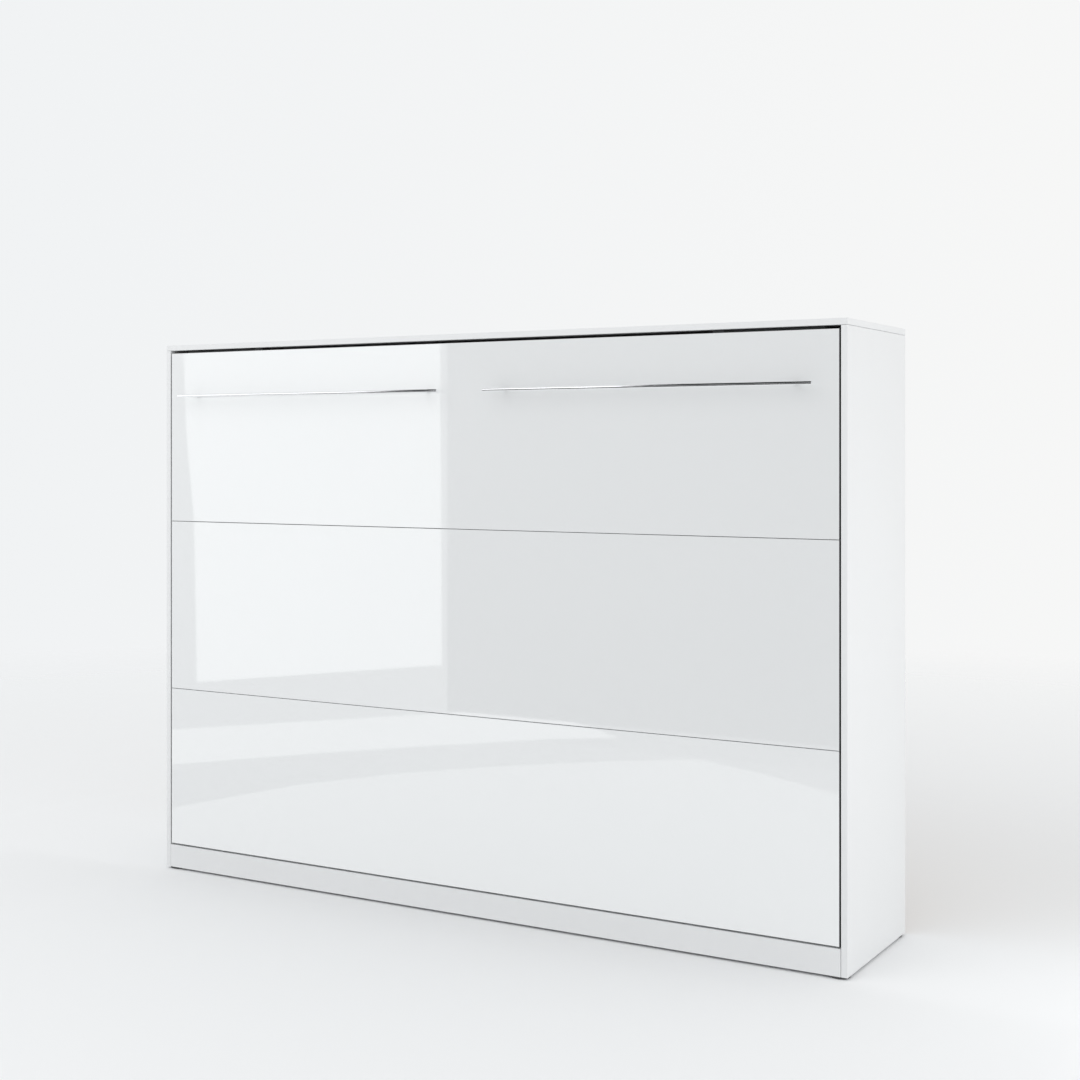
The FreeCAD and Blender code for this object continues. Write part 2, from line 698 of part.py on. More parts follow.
for side, sign in SIDES:
    x_low, x_high = mirrored(sign, frame_half - tube_wide, frame_half)
    end = tube("z", rail_low, rail_high, (x_low, panel_back), (x_high, frame_back))
    inward = Rotation(Vector(0, 1, 0), -90 * sign)
    outward = Rotation(Vector(0, 1, 0), 90 * sign)
    end_bores = []
    for y, z in plate_bolt_places:
        at = (sign * bed_plate_outer, y, z)
        head_at = (sign * (bed_plate_outer + plate_head_high), y, z)
        nut_at = (sign * (frame_half - tube_wall), y, z)
        end_bores.append(cylinder("x", at, plate_bolt_radius, plate_grip, inward, "EndBore"))
        shank = cylinder("x", at, plate_bolt_radius, plate_grip, inward, "PlateBolt")
        head = cylinder("x", head_at, plate_head_radius, plate_head_high, inward, "PlateBoltHead")
        nut = cylinder("x", nut_at, plate_head_radius, nut_high, inward, "PlateNut")
        nut_bore = cylinder("x", at, plate_bolt_radius, plate_grip + nut_high, inward, "NutBore")
        plate_bolts += [fuse([shank, head], "PlateBoltWhole"), cut(nut, [nut_bore], "NutBored")]
    keep(cut(end, end_bores, "EndBored"), f"frame_end_{side}")

    # The bed's own pivot plate carries a welded boss with a plastic bush for the pin
    plate_near, plate_far = mirrored(sign, frame_half, bed_plate_outer)
    plate = prism("x", plate_near, plate_far, bed_plate_outline, name="BedPlate")
    centre = (sign * frame_half, pivot_y, pivot_height)
    boss = cylinder("x", centre, boss_radius, bush_end, outward, "Boss")
    bush_bore = cylinder("x", centre, bush_radius, bush_end, outward, "BushBore")
    welded = fuse([rounded(plate, bed_plate_corner, upright), boss], "BedPlateWelded")
    keep(cut(welded, [bush_bore] + end_bores, "BedPlateBored"), f"bed_pivot_plate_{side}")
    bush_pieces.append(turned("z", centre, bush_profile, outward, "Bush"))
keep(group(bush_pieces, "Bushes"), "pivot_bushes")
keep(group(plate_bolts, "PlateBolts"), "bed_plate_bolts")
uprights = []
rail_order = ("bottom", "lower", "upper", "top")
for below, above in zip(rail_order, rail_order[1:]):
    uprights.append(tube("z", rail_middles[below] + tube_wide / 2, rail_middles[above] - tube_wide / 2,
                         (-tube_wide / 2, panel_back), (tube_wide / 2, frame_back)))
keep(group(uprights, "Uprights"), "frame_uprights")

# Slats across the bed, each end in a plastic holder on the outer rails
SLAT_COUNT, slat_inset = 14, 8
slats, holders = [], []
slat_front = frame_back + holder_wall
holder_back = slat_front + slat_thick + holder_wall
slat_low = panel_bottom + frame_lift + slat_inset
slat_high = panel_top - slat_inset
for i in range(SLAT_COUNT):
    x = (i - (SLAT_COUNT - 1) / 2) * slat_pitch
    low_x, high_x = x - slat_width / 2, x + slat_width / 2
    slat = (low_x, slat_front, slat_low), (high_x, slat_front + slat_thick, slat_high)
    slats.append(block(*slat, "Slat"))
    for low_z, high_z in ((slat_low - holder_wall, slat_low + holder_length),
                          (slat_high - holder_length, slat_high + holder_wall)):
        cap = block((low_x - holder_wall, frame_back, low_z), (high_x + holder_wall, holder_back, high_z),
                    "Holder")
        holders.append(cut(cap, [block(*slat, "SlatPocket")], "HolderCut"))
keep(group(slats, "Slats"), "slats")
keep(group(holders, "Holders"), "slat_holders")

# Mattress, a thick cover round the space for its springs, and the two webbing straps that hold it
# on the slats while it stands on edge
mattress_front = holder_back + soft_gap
mattress_back = mattress_front + mattress_thick
middle_z = (panel_bottom + frame_lift + panel_top) / 2
mattress_low, mattress_high = middle_z - mattress_width / 2, middle_z + mattress_width / 2
mattress = prism("x", -mattress_length / 2, mattress_length / 2,
                 rectangle(mattress_front, mattress_low, mattress_back, mattress_high), name="Mattress")
rounded(mattress, mattress_radius, upright)
spring_half = mattress_length / 2 - mattress_wall
hollow = block((-spring_half, mattress_front + mattress_wall, mattress_low + mattress_wall),
               (spring_half, mattress_back - mattress_wall, mattress_high - mattress_wall), "SpringSpace")
keep(cut(mattress, [hollow], "MattressShell"), "mattress")
buckles = []
buckle_margin, buckle_thick, buckle_half = 6, 6, 25
buckle_z = middle_z + 200
strap_low, strap_high = mattress_low - soft_gap, mattress_high + soft_gap
strap_back = mattress_back + soft_gap
buckle_back = strap_back + strap_thick
strap_outline = [(frame_back, strap_low - strap_thick), (buckle_back, strap_low - strap_thick),
                 (buckle_back, strap_high + strap_thick), (frame_back, strap_high + strap_thick),
                 (frame_back, strap_high), (strap_back, strap_high), (strap_back, strap_low),
                 (frame_back, strap_low)]
for side, sign in SIDES:
    x_low, x_high = sign * strap_offset - strap_width / 2, sign * strap_offset + strap_width / 2
    keep(prism("x", x_low, x_high, strap_outline, name="Strap"), f"mattress_strap_{side}")
    buckles.append(block((x_low - buckle_margin, buckle_back, buckle_z - buckle_half),
                         (x_high + buckle_margin, buckle_back + buckle_thick, buckle_z + buckle_half),
                         "Buckle"))
keep(group(buckles, "Buckles"), "strap_buckles")

# Legs: flat steel that lies along the panel's top edge and turns a quarter about a rivet
washer_low = panel_top
leg_low = washer_low + washer_thick + free_gap
leg_high = leg_low + leg_thick
leg_reach = pivot_height + leg_y - pivot_y - floor_gap
rivets, washers = [], []
tail_radius, tail_thick, rivet_head, rivet_ease, head_thick, washer_radius = 8, 3, 9, 1, 1.2, 11
tail = panel_top - tube_wall - tail_thick
rivet_neck = leg_high + free_gap - tail
rivet_end = rivet_neck + head_thick
rivet_profile = [(0, 0), (tail_radius, 0), (tail_radius, tail_thick), (leg_rivet_radius, tail_thick),
                 (leg_rivet_radius, rivet_neck), (rivet_head, rivet_neck),
                 (rivet_head - rivet_ease, rivet_end), (0, rivet_end)]
washer_profile = [(leg_rivet_radius, 0), (washer_radius, 0), (washer_radius, washer_thick),
                  (leg_rivet_radius, washer_thick)]
leg_front, leg_back = leg_y - leg_width / 2, leg_y + leg_width / 2
for side, sign in SIDES:
    pivot_x = sign * leg_pivot_x
    tip_x = pivot_x - sign * (leg_reach - pad_wall)
    low_x, high_x = (tip_x, pivot_x) if sign > 0 else (pivot_x, tip_x)
    bar = block((low_x, leg_front, leg_low), (high_x, leg_back, leg_high), "LegBar")
    round_end = cylinder("z", (pivot_x, leg_y, leg_low), leg_width / 2, leg_thick, name="LegEnd")
    hole = cylinder("z", (pivot_x, leg_y, leg_low), leg_rivet_radius + running_fit, leg_thick,
                    name="LegHole")
    keep(cut(fuse([bar, round_end], "LegFused"), [hole], "LegBored"), f"leg_{side}")
    pad_end = tip_x - sign * pad_wall
    pad_near, pad_far = (pad_end, pad_end + pad_length) if sign > 0 else (pad_end - pad_length, pad_end)
    pocket = block((low_x, leg_front, leg_low), (high_x, leg_back, leg_high), "PadPocket")
    cap = block((pad_near, leg_front - pad_wall, leg_low - pad_wall),
                (pad_far, leg_back + pad_wall, leg_high + pad_wall), "PadCap")
    keep(cut(cap, [pocket], "PadHollow"), f"leg_pad_{side}")
    rivets.append(turned("z", (pivot_x, leg_y, tail), rivet_profile, name="Rivet"))
    washers.append(turned("z", (pivot_x, leg_y, washer_low), washer_profile, name="Washer"))
keep(group(rivets, "Rivets"), "leg_rivets")
keep(group(washers, "Washers"), "leg_washers")

# Gas struts, drawn along their own axis from the upper stud down to the lower one
across = lower_y - upper_y
down = as_size(lower_stud_height) - upper_stud_height
strut_length = math.hypot(across.value, down.value)
strut_turn = Rotation(Vector(1, 0, 0), math.degrees(math.atan2(-across.value, down.value)))
bore_radius = strut_radius - strut_wall
neck_start, neck_radius, neck_flare = 4, 5, 2
body_start = eye_radius + neck_radius
body_end = body_start + strut_body
gland_long, closed_end, piston_gap = 8, 6, 12
rod_bore = rod_radius + running_fit
shell_profile = [(0, neck_start), (neck_radius, neck_start), (neck_radius + neck_flare, body_start),
                 (strut_radius, body_start), (strut_radius, body_end), (rod_bore, body_end),
                 (rod_bore, body_end - gland_long), (bore_radius, body_end - gland_long),
                 (bore_radius, body_start + closed_end), (0, body_start + closed_end)]
socket_over, socket_depth, mouth_ease, tip_ease = 9, 14, 1, 2
socket_start = strut_length + socket_over - socket_length
socket_end = socket_start + socket_length
rod_end = socket_start + socket_depth
piston_end = body_end - piston_gap
piston_radius = bore_radius - running_fit
rod_profile = [(0, piston_end - piston_length), (piston_radius, piston_end - piston_length),
               (piston_radius, piston_end), (rod_radius, piston_end), (rod_radius, rod_end), (0, rod_end)]
socket_profile = [(rod_radius, socket_start), (socket_radius - mouth_ease, socket_start),
                  (socket_radius, socket_start + mouth_ease), (socket_radius, socket_end - tip_ease),
                  (socket_radius - tip_ease, socket_end), (0, socket_end), (0, rod_end),
                  (rod_radius, rod_end)]
for side, sign in SIDES:
    upper = (sign * strut_x, upper_y, upper_stud_height)
    inward = Rotation(Vector(0, 1, 0), -90 * sign)
    shell = turned("z", upper, shell_profile, strut_turn, "StrutShell")
    eye_at = (sign * strut_x - eye_width / 2, upper_y, upper_stud_height)
    hole_at = (sign * strut_x - eye_width, upper_y, upper_stud_height)
    eye = cylinder("x", eye_at, eye_radius, eye_width, name="StrutEye")
    stud_hole = cylinder("x", hole_at, stud_radius + running_fit, 2 * eye_width, name="EyeHole")
    keep(cut(fuse([shell, eye], "StrutFused"), [stud_hole], "StrutBored"), f"strut_cylinder_{side}")
    keep(turned("z", upper, rod_profile, strut_turn, "StrutRod"), f"strut_rod_{side}")
    sleeve = turned("z", upper, socket_profile, strut_turn, "StrutSocket")
    stud = cylinder("x", (sign * strut_x, lower_y, lower_stud_height), stud_radius,
                    strut_x - bed_plate_outer - soft_gap, inward, "LowerStud")
    keep(fuse([sleeve, stud], "SocketWhole"), f"strut_socket_{side}")

doc.recompute()

# Nothing is written unless every object and shape is sound
for item in doc.Objects:
    if "Invalid" in item.State or "Error" in item.State:
        raise RuntimeError(f"{item.Label} ({item.Name}) failed: {item.State}")
for item in ends:
    if item.Shape.isNull() or not item.Shape.isValid() or not item.Shape.Solids:
        raise RuntimeError(f"{item.Label} has no valid solid")
os.makedirs("parts", exist_ok=True)
for item in ends:
    item.Shape.exportStep(f"parts/{item.Label}.step")
print(f"{len(ends)} pieces written")
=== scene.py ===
import json
import math

import bmesh
import bpy
import numpy as np
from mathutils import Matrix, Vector


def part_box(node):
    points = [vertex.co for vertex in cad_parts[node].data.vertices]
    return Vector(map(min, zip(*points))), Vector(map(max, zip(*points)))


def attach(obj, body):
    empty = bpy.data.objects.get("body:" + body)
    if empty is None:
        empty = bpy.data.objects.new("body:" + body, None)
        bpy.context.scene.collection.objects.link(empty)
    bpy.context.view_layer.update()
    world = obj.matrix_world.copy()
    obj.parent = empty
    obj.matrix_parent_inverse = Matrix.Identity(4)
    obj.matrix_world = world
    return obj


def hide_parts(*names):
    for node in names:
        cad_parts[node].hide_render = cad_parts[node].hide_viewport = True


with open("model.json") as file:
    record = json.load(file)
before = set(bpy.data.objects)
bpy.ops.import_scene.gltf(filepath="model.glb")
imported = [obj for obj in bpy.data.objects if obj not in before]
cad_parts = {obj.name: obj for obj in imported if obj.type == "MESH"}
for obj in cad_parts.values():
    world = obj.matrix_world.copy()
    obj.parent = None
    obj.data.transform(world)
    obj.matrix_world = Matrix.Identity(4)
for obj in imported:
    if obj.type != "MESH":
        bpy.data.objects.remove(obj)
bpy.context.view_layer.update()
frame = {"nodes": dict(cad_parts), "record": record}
cadNodes = frame["nodes"]
print("frame loaded:", len(cadNodes), "nodes")


# Sums on shader sockets, and one way to add any other node.
class Signal:
    # a socket that can stand in a sum; each sum adds a Math node
    def __init__(self, finish, socket):
        self.finish, self.socket = finish, socket

    def maths(self, operation, *others, swapped=False):
        values = [self, *others]
        if swapped:
            values.reverse()
        node = self.finish.add("ShaderNodeMath", {"operation": operation}, dict(enumerate(values)))
        return Signal(self.finish, node.outputs[0])

    def __add__(self, other):
        return self.maths("ADD", other)

    def __radd__(self, other):
        return self.maths("ADD", other)

    def __sub__(self, other):
        return self.maths("SUBTRACT", other)

    def __rsub__(self, other):
        return self.maths("SUBTRACT", other, swapped=True)

    def __mul__(self, other):
        return self.maths("MULTIPLY", other)

    def __rmul__(self, other):
        return self.maths("MULTIPLY", other)

    def __truediv__(self, other):
        return self.maths("DIVIDE", other)

    def __pow__(self, other):
        return self.maths("POWER", other)

    def __abs__(self):
        return self.maths("ABSOLUTE")


def between(signal, low, high):
    # 0 below low, 1 above high, and a straight ramp from one to the other
    return ((signal - low) / (high - low)).maths("MAXIMUM", 0).maths("MINIMUM", 1)


class Nodes:
    # the node tree of a material or a world, emptied, with one way to add a node
    def __init__(self, owner):
        owner.use_nodes = True
        self.tree = owner.node_tree
        self.tree.nodes.clear()

    def add(self, kind, settings=None, sockets=None):
        node = self.tree.nodes.new(kind)
        for name, value in (settings or {}).items():
            setattr(node, name, value)
        for name, value in (sockets or {}).items():
            value = value.socket if isinstance(value, Signal) else value
            if isinstance(value, bpy.types.NodeSocket):
                self.tree.links.new(value, node.inputs[name])
            else:
                node.inputs[name].default_value = value
        return node


class Finish(Nodes):
    # one material: its tree, its Principled shader and the place on the piece
    def __init__(self, name, **shaderValues):
        self.material = bpy.data.materials.new(name)
        super().__init__(self.material)
        self.shader = self.add("ShaderNodeBsdfPrincipled")
        self.output = self.add("ShaderNodeOutputMaterial", {}, {"Surface": self.shader.outputs["BSDF"]})
        self.place = self.add("ShaderNodeTexCoord").outputs["Object"]
        for socket, value in shaderValues.items():
            self.shader.inputs[socket.replace("_", " ")].default_value = value

    def axes(self, vector=None):
        node = self.add("ShaderNodeSeparateXYZ", {}, {0: vector or self.place})
        return [Signal(self, out) for out in node.outputs]

    def stretched(self, scale, vector=None):
        node = self.add("ShaderNodeVectorMath", {"operation": "MULTIPLY"}, {0: vector or self.place, 1: scale})
        return node.outputs[0]

    def noise(self, scale, detail=2, rough=.5, warp=0, vector=None):
        node = self.add("ShaderNodeTexNoise", {},
                        {"Vector": vector or self.place, "Scale": scale, "Detail": detail,
                         "Roughness": rough, "Distortion": warp})
        return Signal(self, node.outputs[0])

    def cells(self, scale, vector=None):
        node = self.add("ShaderNodeTexVoronoi", {}, {"Vector": vector or self.place, "Scale": scale})
        return Signal(self, node.outputs["Distance"])

    def mixed(self, share, first, second):
        paint = [tone if isinstance(tone, bpy.types.NodeSocket) else (*tone, 1) for tone in (first, second)]
        node = self.add("ShaderNodeMix", {"data_type": "RGBA"}, {0: share, 6: paint[0], 7: paint[1]})
        return node.outputs[2]

    def into(self, socket, value):
        value = value.socket if isinstance(value, Signal) else value
        self.tree.links.new(value, self.shader.inputs[socket])

    def relief(self, height, depth, strength=1):
        # depth is the height in metres of a signal that goes from 0 to 1
        node = self.add("ShaderNodeBump", {}, {"Height": height, "Distance": depth, "Strength": strength})
        self.into("Normal", node.outputs[0])


# Board, plastic, metal and wood finishes.
glossBoard = {"light": (.800, .812, .820), "shade": (.786, .799, .808), "paintedEdgeShade": (.012, .013, .014),
              "cloudScale": 2.2, "smearScale": 5, "dustScale": 900, "roughness": .022, "wear": .02, "coat": .5,
              "paintedEdgeShadeRoughness": .8, "paintedEdgeShadeDepth": .0004, "peelScale": 42, "peelDepth": .0000035}


def glossBoardFinish(name):
    # white gloss foil with faint clouds, handling smears and dust; both end edges carry a painted shade, near black
    # and matt, standing in for the dark gaps beside the cabinet sides
    g = glossBoard
    f = Finish(name, IOR=1.7, Coat_Roughness=.015)
    foil = f.mixed(f.noise(g["cloudScale"]), g["light"], g["shade"])
    smear = between(f.noise(g["smearScale"], 4, .6, .4), .45, .8)
    dust = between(f.noise(g["dustScale"], 1), .66, .8)
    x, _, _ = f.axes()
    # painted shade: the end faces of the boards are coloured near black and made matt, so the side gaps read dark
    paintedEdgeShade = abs(x).maths("GREATER_THAN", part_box("front_board_top")[1][0] - g["paintedEdgeShadeDepth"])
    f.into("Base Color", f.mixed(paintedEdgeShade, foil, g["paintedEdgeShade"]))
    f.into("Coat Weight", g["coat"] - paintedEdgeShade * g["coat"])
    f.into("Roughness", (smear + dust) * g["wear"] + paintedEdgeShade * g["paintedEdgeShadeRoughness"] + g["roughness"])
    f.relief(f.noise(g["peelScale"], 1), g["peelDepth"])
    return f.material


satinBoard = {"light": (.815, .824, .832), "shade": (.798, .808, .816), "cloudScale": 3, "roughness": .34,
              "pebbleScale": 1400, "pebbleDepth": .00004, "fleck": (.75, .762, .767), "scuffScale": 14}


def satinBoardFinish(name):
    s = satinBoard
    f = Finish(name, IOR=1.48)
    pebble = f.noise(s["pebbleScale"], 2, .6)
    ground = f.mixed(f.noise(s["cloudScale"], 2), s["light"], s["shade"])
    f.into("Base Color", f.mixed(between(pebble, .62, .85) * .35, ground, s["fleck"]))
    f.into("Roughness", f.noise(s["scuffScale"], 3) * .1 + pebble * .06 + s["roughness"])
    f.relief(pebble, s["pebbleDepth"])
    return f.material


fibreBoard = {"white": (.80, .81, .815), "brownLight": (.42, .29, .175), "brownDark": (.27, .175, .10),
              "fibreScale": 260, "fibreDepth": .00012, "screenScale": 520, "stainScale": 6, "lacquerScale": 1200}


def fibreBoardFinish(name):
    # white lacquer on the room side and edges, raw pressed fibre on the wall side
    b = fibreBoard
    f = Finish(name)
    fibre = f.noise(b["fibreScale"], 4, .7, 1.2, f.stretched((1, 1, .35)))
    screen = f.cells(b["screenScale"])
    raw = f.mixed(between(fibre * .75 + f.noise(b["stainScale"]) * .25, .3, .7), b["brownDark"], b["brownLight"])
    way = f.axes(f.add("ShaderNodeTexCoord").outputs["Normal"])[1]
    wallSide = way.maths("GREATER_THAN", .5)
    f.into("Base Color", f.mixed(wallSide, b["white"], raw))
    f.into("Roughness", wallSide * .35 + fibre * .1 + .38)
    f.relief((fibre + screen * .5) * wallSide + f.noise(b["lacquerScale"], 1) * .1, b["fibreDepth"])
    return f.material


moulded = {"scuffScale": 38, "cloudScale": 9}


def mouldedFinish(name, light, shade, roughness, grainScale=900, grainDepth=.00005):
    # moulded plastic or rubber: fine spark-eroded grain, slight cloudiness and scuffs
    f = Finish(name, IOR=1.46)
    grain = f.noise(grainScale, 3, .7)
    scuff = between(f.noise(moulded["scuffScale"], 4, .7, 1), .58, .8)
    f.into("Base Color", f.mixed(f.noise(moulded["cloudScale"]) * .6 + scuff * .4, light, shade))
    f.into("Roughness", grain * .12 + scuff * .15 + roughness)
    f.relief(grain, grainDepth)
    return f.material


brightMetal = {"hairScale": 1800, "alongScale": 14, "spotScale": 30, "cloudScale": 7}


def brightMetalFinish(name, light, shade, roughness, along, lineDepth=.000004):
    # plated or drawn bar: hairlines along one axis, soft clouds and a few handled spots
    m = brightMetal
    f = Finish(name, Metallic=1)
    hairScale = [m["hairScale"]] * 3
    hairScale["xyz".index(along)] = m["alongScale"]
    hairs = f.noise(1, 3, .6, 0, f.stretched(tuple(hairScale)))
    spots = between(f.noise(m["spotScale"], 3, .6), .6, .8)
    f.into("Base Color", f.mixed(f.noise(m["cloudScale"]) * .7 + spots * .3, light, shade))
    f.into("Roughness", hairs * .03 + spots * .05 + roughness)
    f.relief(hairs, lineDepth)
    return f.material


zincPlate = {"cold": (.60, .62, .64), "warm": (.72, .71, .66), "spangleScale": 170, "castScale": 60,
             "grainScale": 420, "roughness": .22, "depth": .00002}


def zincFinish(name):
    # bright zinc plating: a faint spangle, with a warm and a cold cast side by side
    f = Finish(name, Metallic=1)
    z = zincPlate
    spangle = f.cells(z["spangleScale"], f.stretched((1, .8, 1)))
    cast = f.noise(z["castScale"], 3, .6, .8)
    f.into("Base Color", f.mixed(between(cast, .35, .65), z["cold"], z["warm"]))
    f.into("Roughness", spangle * .18 + f.noise(z["grainScale"]) * .1 + z["roughness"])
    f.relief(spangle, z["depth"])
    return f.material


powderCoat = {"pitScale": 900, "rubScale": 11, "cloudScale": 4}


def powderCoatFinish(name, light, shade, roughness, peelScale=520, peelDepth=.00006):
    # baked powder on steel: orange peel, tiny pits and rubbed places
    f = Finish(name, IOR=1.5)
    peel = f.noise(peelScale, 1, .4)
    pits = between(f.cells(powderCoat["pitScale"]), 0, .12)
    rubbed = between(f.noise(powderCoat["rubScale"], 4, .65, .6), .56, .76)
    f.into("Base Color", f.mixed(f.noise(powderCoat["cloudScale"]) * .6 + rubbed * .4, light, shade))
    f.into("Roughness", peel * .1 + rubbed * -.12 + roughness)
    f.relief(peel + pits * .3, peelDepth)
    return f.material


beech = {"early": (.70, .50, .315), "late": (.555, .365, .205), "fleck": (.43, .265, .14), "ring": 46,
         "ply": .0016, "driftStretch": (30, 60, 1.4), "poreStretch": (1500, 1500, 45),
         "fleckStretch": (900, 900, 110), "plankStretch": (7.1, 0, 0), "depth": .00006}


def beechFinish(name):
    # slats bent from veneers: long figure up the slat, short dark flecks, and ply lines on the edges
    b = beech
    f = Finish(name, IOR=1.47, Coat_Weight=.25, Coat_Roughness=.25)
    x, y, _ = f.axes()
    drift = f.noise(1, 3, .6, .5, f.stretched(b["driftStretch"]))
    figure = ((x * b["ring"] + drift * 9).maths("SINE") + 1) * .5
    pores = f.noise(1, 2, .6, 0, f.stretched(b["poreStretch"]))
    flecks = between(f.noise(1, 1, .5, 0, f.stretched(b["fleckStretch"])), .64, .74)
    plank = f.noise(1, 0, .5, 0, f.stretched(b["plankStretch"]))      # each slat's own tone
    wood = f.mixed(between(figure * .6 + pores * .4, .15, .9), b["early"], b["late"])
    wood = f.mixed(flecks * .55, wood, b["fleck"])
    wood = f.mixed(between(plank, .3, .7) * .3, wood, b["late"])
    side = abs(f.axes(f.add("ShaderNodeTexCoord").outputs["Normal"])[0]).maths("GREATER_THAN", .5)
    plies = ((y / b["ply"]).maths("PINGPONG", .5) * 2).maths("LESS_THAN", .16)
    f.into("Base Color", f.mixed(side * plies * .7, wood, b["fleck"]))
    f.into("Roughness", pores * .14 + figure * .06 + .34)
    f.relief(pores * .7 + flecks * -.3, b["depth"])
    return f.material


# Cloth finishes, which follow the pieces' own maps.
# the valley tone is a painted shade for the quilting creases; the knit loops also take it as their darker tone
mattressCloth = {"light": (.80, .79, .765), "shade": (.69, .68, .655), "valley": (.56, .55, .53),
                 "border": (.60, .605, .61), "borderDark": (.40, .405, .415), "thread": (.88, .87, .85),
                 "loop": .0021, "stitch": .0062, "rib": .0048, "holeScale": 420, "fuzzScale": 1900,
                 "cloudScale": 18, "corner": .05, "relief": .00045}


def mattressClothFinish(name):
    # knitted ticking: rows of loops on the quilted faces, a ribbed spacer knit on the border,
    # and running stitches along the quilting lines; the ribs follow the distance round the border,
    # which runs with x on the long sides, with z on the short ones and with the angle at a corner
    c = mattressCloth
    f = Finish(name, Roughness=.9, Sheen_Weight=.25, Sheen_Roughness=.45)
    x, y, z = f.axes()
    quilt = Signal(f, f.add("ShaderNodeAttribute", {"attribute_name": "quilt"}).outputs["Fac"])
    border = Signal(f, f.add("ShaderNodeAttribute", {"attribute_name": "border"}).outputs["Fac"])
    turn = 2 * math.pi / c["loop"]
    loops = (x * turn).maths("SINE") * ((z + y) * (turn * .7) + (x * (turn * .5)).maths("SINE")).maths("SINE")
    fuzz = f.noise(c["fuzzScale"], 3, .7)
    low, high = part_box("mattress")
    cornerX, cornerZ = (high[0] - low[0]) / 2 - c["corner"], (high[2] - low[2]) / 2 - c["corner"]
    farX, farZ = abs(x - (low[0] + high[0]) / 2), abs(z - (low[2] + high[2]) / 2)
    bend = (farX - cornerX).maths("MAXIMUM", 0).maths("ARCTAN2", (farZ - cornerZ).maths("MAXIMUM", 0))
    run = farX.maths("MINIMUM", cornerX) - farZ.maths("MINIMUM", cornerZ) + bend * c["corner"]
    ribs = ((run * (2 * math.pi / c["rib"])).maths("SINE") + 1) * .5
    holes = between(f.cells(c["holeScale"]), 0, .45)
    dash = (x * (math.sqrt(2) / c["stitch"])).maths("FRACT")
    thread = dash.maths("LESS_THAN", .62) * between(quilt, .10, .03)
    face = f.mixed(between(f.noise(c["cloudScale"], 3), .35, .7), c["light"], c["shade"])
    # painted shade: the face is darkened towards the valley tone along the quilting creases, and a little
    # everywhere with the knit loops
    face = f.mixed(between(quilt, .35, 0) * .55, face, c["valley"])
    face = f.mixed(loops * .08 + .08, face, c["valley"])
    face = f.mixed(thread * .6, face, c["thread"])
    band = f.mixed(ribs * .6 + (1 - holes) * .4, c["border"], c["borderDark"])
    f.into("Base Color", f.mixed(border, face, band))
    f.into("Roughness", fuzz * .1 + .84)
    weave = (loops * .35 + fuzz * .3 + thread * .8) * (1 - border) + (ribs + holes * .5) * border
    f.relief(weave, c["relief"], .8)
    return f.material


tapeWeave = {"light": (.47, .475, .485), "shade": (.34, .345, .355), "thread": (.87, .87, .86),
             "rib": .0016, "stitch": .005, "yarnScale": 2600, "depth": .0003}


def tapeFinish(name):
    # narrow woven tape: ribs across the run, a row of stitches along its middle; the map is in metres
    t = tapeWeave
    f = Finish(name, Roughness=.75, Sheen_Weight=.15)
    run, across, _ = f.axes(f.add("ShaderNodeUVMap", {"uv_map": "run"}).outputs[0])
    ribs = ((run * (2 * math.pi / t["rib"])).maths("SINE") + 1) * .5
    yarn = f.noise(t["yarnScale"])
    stitch = (run / t["stitch"]).maths("FRACT").maths("LESS_THAN", .6) * abs(across - .5).maths("LESS_THAN", .05)
    paint = f.mixed(ribs * .5 + yarn * .4, t["light"], t["shade"])
    f.into("Base Color", f.mixed(stitch * .8, paint, t["thread"]))
    f.into("Roughness", yarn * .15 + .68)
    f.relief(ribs * .7 + yarn * .3 + stitch * .6, t["depth"])
    return f.material


webbing = {"light": (.115, .118, .125), "shade": (.055, .057, .062), "soil": (.17, .17, .175), "yarn": .0019,
           "edge": .0017, "halfWide": .02, "hairScale": 3000, "soilScale": 30, "depth": .0005}


def webbingFinish(name):
    # strap webbing: a herringbone of thick yarns, tight selvedges and rows of bar tacks; map in metres
    w = webbing
    f = Finish(name, Roughness=.6, Sheen_Weight=.2)
    run, across, _ = f.axes(f.add("ShaderNodeUVMap", {"uv_map": "run"}).outputs[0])
    lane = (across / (w["yarn"] * 4)).maths("PINGPONG", .5)
    wale = ((run / w["yarn"] + lane * 5) * (2 * math.pi)).maths("SINE")
    warp = ((across / w["yarn"]) * (2 * math.pi)).maths("SINE")
    weave = (wale * .65 + warp * .35 + 1) * .5
    hair = f.noise(w["hairScale"], 2, .7)
    middle = abs(across - w["halfWide"])
    selvedge = middle.maths("GREATER_THAN", w["halfWide"] - w["edge"])
    paint = f.mixed(weave * .8 + hair * .2, w["shade"], w["light"])
    paint = f.mixed(selvedge * .5, paint, w["light"])
    f.into("Base Color", f.mixed(between(f.noise(w["soilScale"], 3), .5, .8) * .25, paint, w["soil"]))
    f.into("Roughness", hair * .2 + weave * .1 + .5)
    f.relief(weave * (1 - selvedge) + selvedge * .6 + hair * .15, w["depth"])
    return f.material


